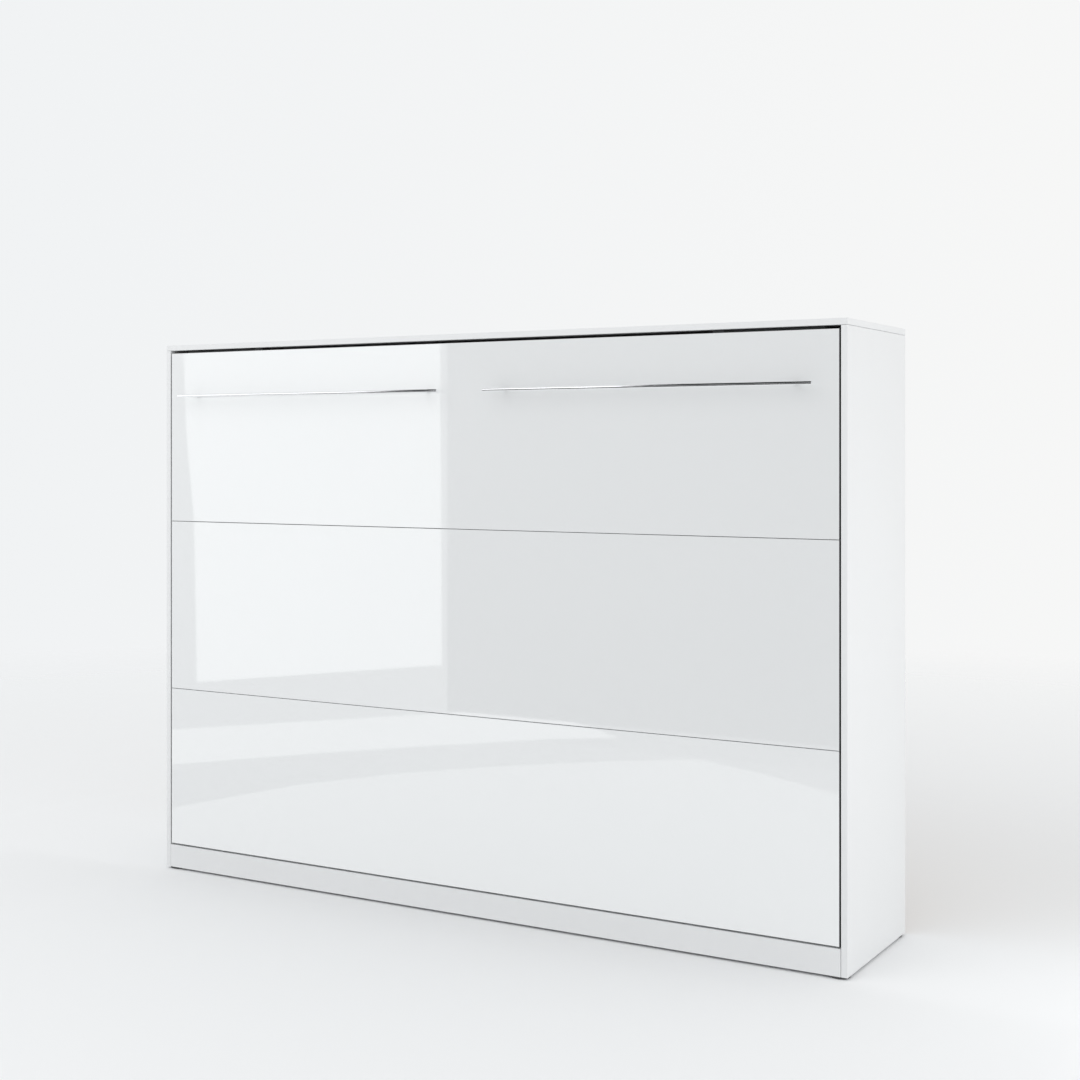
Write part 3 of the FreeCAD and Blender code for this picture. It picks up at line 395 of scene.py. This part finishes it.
finishes = {
    "front_boards": glossBoardFinish("front_gloss"),
    "cabinet_boards": satinBoardFinish("cabinet_satin"),
    "back_boards": fibreBoardFinish("back_fibre"),
    "strip_plastic": mouldedFinish("strip_white", (.78, .785, .785), (.73, .735, .735), .38),
    "glide_plastic": mouldedFinish("glide_grey", (.085, .087, .09), (.05, .05, .053), .42),
    "chrome": brightMetalFinish("handle_chrome", (.93, .935, .945), (.84, .85, .87), .05, "x"),
    "zinc": zincFinish("fitting_zinc"),
    "frame_steel": powderCoatFinish("frame_grey", (.47, .48, .49), (.38, .39, .40), .42),
    "plate_steel": powderCoatFinish("plate_graphite", (.15, .155, .16), (.10, .103, .108), .38),
    "leg_steel": powderCoatFinish("leg_black", (.034, .035, .037), (.02, .021, .022), .45, 700),
    "strut_black": powderCoatFinish("strut_gloss_black", (.030, .031, .033), (.018, .018, .020), .18, 240,
                                    .00002),
    "rod_steel": brightMetalFinish("rod_polished", (.80, .81, .82), (.66, .67, .69), .09, "z"),
    "beech": beechFinish("slat_beech"),
    "mattress_cloth": mattressClothFinish("mattress_ticking"),
    "webbing": webbingFinish("strap_webbing"),
    "buffer_rubber": mouldedFinish("buffer_rubber_dark", (.045, .045, .047), (.024, .024, .026), .62, 500,
                                   .00012),
}
slotOf = {part["node"]: part["material_slot"] for part in frame["record"]["subparts"]}
for nodeName, cadNode in cadNodes.items():
    finish = finishes[slotOf[nodeName]]
    if not cadNode.material_slots:
        cadNode.data.materials.append(finish)
    for materialSlot in cadNode.material_slots:
        materialSlot.material = finish
print("finishes on", len(cadNodes), "nodes")


# Soft pieces.
def meshPiece(name, points, faces, finish):
    mesh = bpy.data.meshes.new(name)
    mesh.from_pydata(points.tolist(), [], faces)
    mesh.polygons.foreach_set("use_smooth", np.full(len(faces), True))
    mesh.materials.append(finish)
    mesh.update()
    piece = bpy.data.objects.new(name, mesh)
    bpy.context.scene.collection.objects.link(piece)
    return piece


def gridFaces(rows, columns, closedRows=False, closedColumns=False, start=0, flip=False):
    # four-sided faces between neighbouring rows and columns of a grid numbered row by row
    r = np.arange(rows if closedRows else rows - 1)
    c = np.arange(columns if closedColumns else columns - 1)
    r, c = np.meshgrid(r, c, indexing="ij")
    below, beside = (r + 1) % rows, (c + 1) % columns
    quads = np.stack([r * columns + c, r * columns + beside, below * columns + beside, below * columns + c], -1)
    quads = quads.reshape(-1, 4) + start
    return quads[:, ::-1] if flip else quads


def cornerLoop(halfLength, halfHeight, radius, steps, spacing):
    # walks a rectangle with round corners: four quarter circles joined by straight runs of even steps
    spots = []
    for quarter, (sx, sz) in enumerate(((1, 1), (-1, 1), (-1, -1), (1, -1))):
        angle = np.linspace(0, math.pi / 2, steps + 1) + quarter * math.pi / 2
        centre = np.array([sx * (halfLength - radius), sz * (halfHeight - radius)])
        spots.append(centre + radius * np.stack([np.cos(angle), np.sin(angle)], -1))
    loop = []
    for quarter in range(4):
        arc, following = spots[quarter], spots[(quarter + 1) % 4]
        gap = following[0] - arc[-1]
        count = max(int(np.linalg.norm(gap) / spacing), 1)
        share = np.linspace(0, 1, count + 1)[1:-1, None]
        loop += [arc, arc[-1] + share * gap]
    return np.concatenate(loop)


def directions(path, closed):
    # the forward direction at each point: from the point before it to the point after it
    if closed:
        step = np.roll(path, -1, 0) - np.roll(path, 1, 0)
    else:
        step = np.gradient(path, axis=0)
    return step / np.linalg.norm(step, axis=1, keepdims=True)


mattress = {"grid": .01, "corner": mattressCloth["corner"], "shoulder": .045, "seamDrop": .012,
            "crown": .004, "quiltDepth": .0075, "quiltPeriod": .2, "valley": .011, "bulge": .004,
            "borderRows": 13, "strapDent": .0078, "strapWide": .042}
strapCentres = [sum(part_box("mattress_strap_" + side)[end][0] for end in (0, 1)) / 2 for side in ("left", "right")]


def mattressPiece():
    # Both faces are grids of x and z whose corners are rounded. Depth is the half thickness, less a quarter
    # round shoulder near the rim, plus pillows between two families of crossing diagonal lines, less a dent
    # under each strap. The border joins the rims with a shallow outward bow.
    m = mattress
    low, high = (np.array(corner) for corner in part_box("mattress"))
    middle, half = (low + high) / 2, (high - low) / 2
    across = np.linspace(-half[0], half[0], int(round(2 * half[0] / m["grid"])) + 1)
    upward = np.linspace(-half[2], half[2], int(round(2 * half[2] / m["grid"])) + 1)
    flatX, flatZ = np.meshgrid(across, upward, indexing="ij")
    inX = np.clip((np.abs(flatX) - half[0] + m["corner"]) / m["corner"], 0, 1)
    inZ = np.clip((np.abs(flatZ) - half[2] + m["corner"]) / m["corner"], 0, 1)
    x = np.sign(flatX) * (np.abs(flatX) - m["corner"] * inX * (1 - np.sqrt(1 - inZ ** 2 / 2)))
    z = np.sign(flatZ) * (np.abs(flatZ) - m["corner"] * inZ * (1 - np.sqrt(1 - inX ** 2 / 2)))
    rim = np.minimum(half[0] - np.abs(flatX), half[2] - np.abs(flatZ))
    shoulder = 1 - np.sqrt(1 - (1 - np.clip(rim / m["shoulder"], 0, 1)) ** 2)
    strap = sum(np.exp(-((x + middle[0] - centre) / m["strapWide"]) ** 2) for centre in strapCentres)
    period = m["quiltPeriod"]
    lines = [np.abs((way + period / 2) % period - period / 2) * math.sqrt(.5)
             for way in (flatX + flatZ + half[0] + half[2], flatX - flatZ + half[0] + half[2])]
    pillow = np.prod([1 - np.exp(-(line / m["valley"])) for line in lines], axis=0)
    pillow = pillow * np.clip(rim / m["shoulder"], 0, 1) ** .5
    crown = m["crown"] * np.clip(1 - (flatX / half[0]) ** 4, 0, 1) * np.clip(1 - (flatZ / half[2]) ** 4, 0, 1)
    count = x.size
    faceDepths = []
    for side, lift in ((1, 1), (-1, 0)):     # the far face is full; the other lies flat on the slats
        depth = half[1] - m["seamDrop"] * shoulder - m["quiltDepth"] * (1 - pillow) * (1 if lift else .5)
        depth = depth + (crown + m["quiltDepth"] * .35) * lift - m["strapDent"] * strap * lift
        faceDepths.append(side * depth)
    faces = [np.stack([x, depth, z], -1).reshape(-1, 3) for depth in faceDepths]
    rows, columns = x.shape
    numbers = np.arange(count).reshape(rows, columns)
    rimNumbers = np.concatenate([numbers[:-1, 0], numbers[-1, :-1], numbers[:0:-1, -1], numbers[0, :0:-1]])
    top, bottom = faces[0][rimNumbers], faces[1][rimNumbers]
    share = np.linspace(0, 1, m["borderRows"] + 2)[1:-1]
    outward = np.cross(directions(top * (1, 0, 1), True), (0, 1, 0))
    outward *= np.sign((outward * top).sum(1, keepdims=True))
    strapRim = strap.reshape(-1)[rimNumbers]
    bow = np.sin(math.pi * share)[:, None, None] * m["bulge"] * (1 - .9 * np.clip(strapRim, 0, 1))[None, :, None]
    band = top[None] * (1 - share[:, None, None]) + bottom[None] * share[:, None, None] + bow * outward[None]
    points = np.concatenate([*faces, band.reshape(-1, 3)]) + middle
    ring = len(rimNumbers)
    strip = np.concatenate([rimNumbers[None], 2 * count + np.arange(band[..., 0].size).reshape(-1, ring),
                            rimNumbers[None] + count])
    stripFaces = strip.reshape(-1)[gridFaces(len(strip), ring, closedColumns=True)]
    quads = np.concatenate([gridFaces(rows, columns), gridFaces(rows, columns, start=count, flip=True),
                            stripFaces])
    piece = meshPiece("mattress_quilted", points, quads.tolist(), finishes["mattress_cloth"])
    quiltHeight = np.concatenate([pillow.reshape(-1)] * 2 + [np.ones(band[..., 0].size)])
    borderMark = np.concatenate([np.zeros(2 * count), np.ones(band[..., 0].size)])
    for label, values in (("quilt", quiltHeight), ("border", borderMark)):
        piece.data.attributes.new(label, "FLOAT", "POINT").data.foreach_set("value", values.astype(np.float32))
    return piece


def recalculated(piece):
    # turns every face outwards on a closed piece
    work = bmesh.new()
    work.from_mesh(piece.data)
    bmesh.ops.remove_doubles(work, verts=work.verts, dist=1e-6)
    bmesh.ops.recalc_face_normals(work, faces=work.faces)
    work.to_mesh(piece.data)
    work.free()
    return piece


def carried(name, path, forward, sideways, profile, finish, closed, body):
    # a profile carried along a path: each section is the path point plus the profile's two measures along
    # that point's sideways and outward directions; the map holds metres along and round the section
    outward = np.cross(forward, sideways)
    sections = path[:, None] + profile[None, :, :1] * sideways[:, None] + profile[None, :, 1:] * outward[:, None]
    count, sides = sections.shape[:2]
    faces = gridFaces(count, sides, closedRows=closed, closedColumns=True).tolist()
    points = sections.reshape(-1, 3)
    if not closed:
        last, firstCap, lastCap = (count - 1) * sides, len(points), len(points) + 1
        points = np.concatenate([points, points[:sides].mean(0)[None], points[-sides:].mean(0)[None]])
        faces += [[firstCap, (n + 1) % sides, n] for n in range(sides)]
        faces += [[lastCap, last + n, last + (n + 1) % sides] for n in range(sides)]
    piece = meshPiece(name, points, faces, finish)
    run = np.concatenate([[0], np.cumsum(np.linalg.norm(np.diff(path, axis=0), axis=1))])
    runMap = np.repeat(run[:, None], sides, 1).reshape(-1)
    acrossMap = np.repeat((profile[:, 0] - profile[:, 0].min())[None], count, 0).reshape(-1)
    if not closed:
        runMap, acrossMap = np.append(runMap, [0, run[-1]]), np.append(acrossMap, [np.ptp(profile[:, 0]) / 2] * 2)
    corner = np.zeros(len(piece.data.loops), np.int32)
    piece.data.loops.foreach_get("vertex_index", corner)
    layer = piece.data.uv_layers.new(name="run")
    layer.data.foreach_set("uv", np.stack([runMap[corner], acrossMap[corner]], -1).astype(np.float32).reshape(-1))
    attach(recalculated(piece), body)
    return piece


quiltedMattress = recalculated(mattressPiece())
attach(quiltedMattress, "bed")
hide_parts("mattress")
print("mattress made:", len(quiltedMattress.data.polygons), "faces")


seamTape = {"radius": .0048, "sides": 10, "wide": 1.25, "thin": .72, "inset": .0012, "cornerShare": .82,
            "bendSteps": 10, "spacing": .02, "lowerLift": .0015}
tapeCloth = tapeFinish("edge_tape")


def edgeTape(name, side):
    # a bound seam round the rim of one face: a small oval section carried along the rounded rectangle
    m, t = mattress, seamTape
    low, high = (np.array(corner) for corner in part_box("mattress"))
    middle, half = (low + high) / 2, (high - low) / 2
    loop = cornerLoop(half[0] - t["inset"], half[2] - t["inset"], m["corner"] * t["cornerShare"], t["bendSteps"],
                      t["spacing"])
    depth = middle[1] + side * (half[1] - m["seamDrop"] - t["lowerLift"] * (side < 0))
    path = np.stack([loop[:, 0] + middle[0], np.full(len(loop), depth), loop[:, 1] + middle[2]], -1)
    forward = directions(path, True)
    sideways = np.tile([0, 1., 0], (len(path), 1))
    angle = np.linspace(0, 2 * math.pi, t["sides"], endpoint=False)
    profile = t["radius"] * np.stack([np.cos(angle) * t["wide"], np.sin(angle) * t["thin"]], -1)
    piece = carried(name, path, forward, sideways, profile, tapeCloth, True, "bed")


for label, side in (("mattress_tape_upper", 1), ("mattress_tape_lower", -1)):
    edgeTape(label, side)

straps = {"bend": .009, "thick": .002, "edgeRound": 4, "bendPoints": 7, "underPoints": 24,
          "uprightPoints": 170, "flatPoints": 6}


def strapPiece(side):
    # the path runs from the frame under the mattress, up its far face and back over it, with round bends;
    # the section is a flat band with half-round edges
    s = straps
    low, high = (np.array(corner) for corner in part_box("mattress_strap_" + side))
    x = (low[0] + high[0]) / 2
    thin = s["thick"] / 2
    y0, y1, z0, z1 = low[1], high[1] - thin, low[2] + thin, high[2] - thin
    quarter = np.linspace(0, math.pi / 2, s["bendPoints"])
    bend = s["bend"]
    firstBend = np.stack([y1 - bend + bend * np.sin(quarter), z0 + bend - bend * np.cos(quarter)], -1)
    secondBend = np.stack([y1 - bend + bend * np.cos(quarter), z1 - bend + bend * np.sin(quarter)], -1)
    under = np.linspace(y0, y1 - bend, s["underPoints"])[:-1]
    upright = np.linspace(z0 + bend, z1 - bend, s["uprightPoints"])[1:-1]
    line = np.concatenate([np.stack([under, np.full(len(under), z0)], -1), firstBend,
                           np.stack([np.full(len(upright), y1), upright], -1), secondBend,
                           np.stack([under[::-1], np.full(len(under), z1)], -1)])
    path = np.stack([np.full(len(line), x), line[:, 0], line[:, 1]], -1)
    halfWide = (high[0] - low[0]) / 2 - thin
    edge = np.linspace(-math.pi / 2, math.pi / 2, s["edgeRound"] + 1)
    rightEdge = np.stack([halfWide + thin * np.cos(edge), thin * np.sin(edge)], -1)
    across = np.linspace(halfWide, -halfWide, s["flatPoints"])[1:-1]
    flat = np.stack([across, np.full(len(across), thin)], -1)
    profile = np.concatenate([rightEdge, flat, -rightEdge, -flat])
    sideways = np.tile([1., 0, 0], (len(path), 1))
    piece = carried("strap_webbing_" + side, path, directions(path, False), sideways, profile,
                    finishes["webbing"], False, "bed")
    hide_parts("mattress_strap_" + side)


for side in ("left", "right"):
    strapPiece(side)
print("straps and tapes made")


backNails = {"radius": .0034, "proud": .0007, "sunk": .0004, "spacing": .17, "inset": .009, "margin": .03,
             "uprightCount": 8, "rings": 3, "sides": 10}


def nailHeads():
    # low domes along the rims of the back boards: each is a grid of rings and sides, with height falling off
    # as the square of the distance from its middle
    n = backNails
    spots = []
    for part in ("left", "centre", "right"):
        low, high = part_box("back_panel_" + part)
        count = int((high[0] - low[0]) / n["spacing"])
        for z in (low[2] + n["inset"], high[2] - n["inset"]):
            spots += [(x, z) for x in np.linspace(low[0] + n["margin"], high[0] - n["margin"], count)]
    low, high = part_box("back_panel_left"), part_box("back_panel_right")
    upright = np.linspace(low[0][2] + n["spacing"], low[1][2] - n["spacing"], n["uprightCount"])
    spots += [(x, z) for x in (low[0][0] + n["inset"], high[1][0] - n["inset"]) for z in upright]
    spots = np.array(spots)
    radii = np.linspace(1, 0, n["rings"] + 1)[:-1]
    angle = np.linspace(0, 2 * math.pi, n["sides"], endpoint=False)
    ring = np.stack([radii[:, None] * np.cos(angle), n["proud"] * (1 - radii[:, None] ** 2) + 0 * angle,
                     radii[:, None] * np.sin(angle)], -1) * (n["radius"], 1, n["radius"])
    flatRing = ring[:1] * (1, 0, 1) - (0, n["sunk"], 0)
    dome = np.concatenate([flatRing, ring]).reshape(-1, 3)
    top, bottom = len(dome), len(dome) + 1
    dome = np.concatenate([dome, [[0, n["proud"], 0], [0, -n["sunk"], 0]]])
    faces = gridFaces(n["rings"] + 1, n["sides"], closedColumns=True).tolist()
    last = n["rings"] * n["sides"]
    faces += [[last + k, last + (k + 1) % n["sides"], top] for k in range(n["sides"])]
    faces += [[(k + 1) % n["sides"], k, bottom] for k in range(n["sides"])]
    seat = np.stack([spots[:, 0], np.full(len(spots), high[1][1]), spots[:, 1]], -1)
    points = (seat[:, None] + dome[None]).reshape(-1, 3)
    copies = [[vertex + k * len(dome) for vertex in face] for k in range(len(seat)) for face in faces]
    piece = meshPiece("back_nails", points, copies, finishes["zinc"])
    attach(recalculated(piece), "cabinet")
    return len(seat)


print("nails in the back:", nailHeads())


# Floor, sky, cards that only show in gloss, lamps and the camera.
def stagePiece(name, points, faces, material):
    piece = meshPiece(name, np.array(points), faces, material)
    return piece


room = {"skyLeft": (.872, .889, .902), "skyRight": (.925, .928, .925), "floor": (.878, .886, .895),
        "floorShade": (.858, .866, .875), "floorSize": 40, "clearFrom": 2.0, "clearTo": 6.5, "speckScale": 260}


def floorFinish():
    # matt pale floor that melts into the sky away from the bed
    f = Finish("floor_pale", Roughness=.85, Specular_IOR_Level=.15)
    x, y, _ = f.axes()
    away = ((x * x) + (y * y)) ** .5
    f.into("Base Color", f.mixed(f.noise(room["speckScale"]) * .3, room["floor"], room["floorShade"]))
    clear = f.add("ShaderNodeBsdfTransparent").outputs[0]
    blend = f.add("ShaderNodeMixShader", {}, {0: between(away, room["clearFrom"], room["clearTo"]),
                                              1: f.shader.outputs[0], 2: clear})
    f.tree.links.new(blend.outputs[0], f.output.inputs["Surface"])
    return f.material


reach = room["floorSize"] / 2
stagePiece("floor", [(-reach, -reach, 0), (reach, -reach, 0), (reach, reach, 0), (-reach, reach, 0)],
           [(0, 1, 2, 3)], floorFinish())


def linked(label, *names):
    # a collection of nodes that a light or card can be kept to
    group = bpy.data.collections.new(label)
    for name in names:
        group.objects.link(cadNodes[name])
    return group


glossyFronts = linked("glossy_fronts", "front_board_top", "front_board_middle", "front_board_bottom")
glossyBars = linked("glossy_bars", "handle_bar_left", "handle_bar_right")

# each card: its brightness and its corners; the bright ones are seen only in the polished boards
cards = {
    "card_window": (2.05, [(-3.618, -3.2, 1.85), (-2.004, -3.2, 1.85), (-1.993, -3.2, .22), (-3.522, -3.2, .03),
                           (-3.542, -3.2, .88), (-3.597, -3.2, 1.36)]),
    "card_wall": (.25, [(-1.97, -3.21, -.1), (6, -3.21, -.1), (6, -3.21, 1.85), (-1.97, -3.21, 1.85)]),
    "card_left_dark": (.02, [(-2.2, -3.2, 1.86), (-1.9, -3.2, 1.86), (-2.7, -3.2, 4.37), (-3.75, -3.2, 6.5),
                             (-4.2, -3.2, 6.5), (-3, -3.2, 4.37)]),
    "card_right_dark": (.02, [(-.9, -3.2, 1.86), (6, -3.2, 1.86), (6, -3.2, 6.5), (-2.3, -3.2, 6.5),
                              (-1.46, -3.2, 4.37)]),
    "card_floor_band": (1.72, [(-2.73, -2.11, .002), (-2.37, -2.58, .002), (-2.01, -3.04, .002),
                               (-1.63, -3.52, .002), (-1.30, -3.23, .002), (-.92, -2.95, .002),
                               (-1.19, -2.73, .002), (-1.54, -2.32, .002), (-1.86, -1.91, .002),
                               (-2.16, -1.47, .002)]),
    "card_floor_near": (1.5, [(-1.61, -.86, .002), (-1.48, -1.41, .002), (-1.28, -1.78, .002),
                              (-1.08, -2.05, .002), (-.73, -2.40, .002), (-.41, -2.65, .002),
                              (-.04, -2.48, .002), (.31, -2.27, .002), (1.6, -1.5, .002), (1.6, -.26, .002),
                              (-1.61, -.26, .002)]),
    "card_over_left": (.02, [(-2, -3.2, 4), (-1.65, -3.2, 4), (-1.65, 2.5, 4), (-2, 2.5, 4)]),
    "card_over_right": (.02, [(-.7, -3.2, 4), (4, -3.2, 4), (4, 2.5, 4), (-.7, 2.5, 4)]),
}
for cardName, (brightness, corners) in cards.items():
    paint = bpy.data.materials.new(cardName + "_glow")
    glow = Nodes(paint)
    light = glow.add("ShaderNodeEmission", {}, {"Color": (.98, 1, 1, 1), "Strength": brightness})
    glow.add("ShaderNodeOutputMaterial", {}, {"Surface": light.outputs[0]})
    card = stagePiece(cardName, corners, [tuple(range(len(corners)))], paint)
    card.visible_camera = card.visible_diffuse = card.visible_shadow = False
    card.visible_transmission = card.visible_volume_scatter = False
    if brightness > 1:
        card.light_linking.receiver_collection = glossyFronts

# the sky is cooler on the left and warmer on the right
sky = bpy.data.worlds.new("pale_sky")
bpy.context.scene.world = sky
air = Nodes(sky)
way = air.add("ShaderNodeTexCoord").outputs["Generated"]
leftToRight = air.add("ShaderNodeSeparateXYZ", {}, {0: way}).outputs["X"]
share = air.add("ShaderNodeMapRange", {}, {"Value": leftToRight, "From Min": -.8, "From Max": -.2})
tone = air.add("ShaderNodeMix", {"data_type": "RGBA"},
               {0: share.outputs["Result"], 6: (*room["skyLeft"], 1), 7: (*room["skyRight"], 1)})
air.add("ShaderNodeOutputWorld", {},
        {"Surface": air.add("ShaderNodeBackground", {}, {"Color": tone.outputs[2]}).outputs[0]})

# the two bar lamps stand before the front and are seen only in the handle bars
lamps = {
    "lamp_side": {"place": (2.3, -.19, .85), "aim": (1, -.19, .85), "size": (.3, 1.3), "power": 3.2},
    "lamp_over": {"place": (-1.4, -3.4, 4.1), "aim": (-.6, -.6, .2), "size": (3, 3), "power": 32},
    "lamp_bar_left": {"place": (-3, -3.15, 1.65), "aim": (-3, 0, 1.65), "size": (1.3, 1.9), "power": 12,
                      "seenBy": glossyBars},
    "lamp_bar_right": {"place": (-1.39, -3.15, 1.65), "aim": (-1.39, 0, 1.65), "size": (.78, 1.9), "power": 7.5,
                       "seenBy": glossyBars},
}
for lampName, lamp in lamps.items():
    data = bpy.data.lights.new(lampName, "AREA")
    data.shape, data.energy = "RECTANGLE", lamp["power"]
    data.size, data.size_y = lamp["size"]
    light = bpy.data.objects.new(lampName, data)
    light.location = lamp["place"]
    light.rotation_euler = (Vector(lamp["aim"]) - Vector(lamp["place"])).to_track_quat("-Z", "Y").to_euler()
    light.visible_camera = False
    light.visible_glossy = "seenBy" in lamp
    if "seenBy" in lamp:
        light.light_linking.receiver_collection = lamp["seenBy"]
    bpy.context.scene.collection.objects.link(light)

viewpoint = {"place": (2.3931, -4.0674, 1.2542), "turn": 30.93, "lens": 56.545, "shift": (.04466, -.08399)}
cameraData = bpy.data.cameras.new("camera")
cameraData.sensor_width, cameraData.lens = 36, viewpoint["lens"]
cameraData.shift_x, cameraData.shift_y = viewpoint["shift"]
camera = bpy.data.objects.new("camera", cameraData)
camera.location = viewpoint["place"]
camera.rotation_euler = (math.pi / 2, 0, math.radians(viewpoint["turn"]))
bpy.context.scene.collection.objects.link(camera)
bpy.context.scene.camera = camera
bpy.context.scene.view_settings.view_transform = "Standard"
print("stage, lamps and camera set")
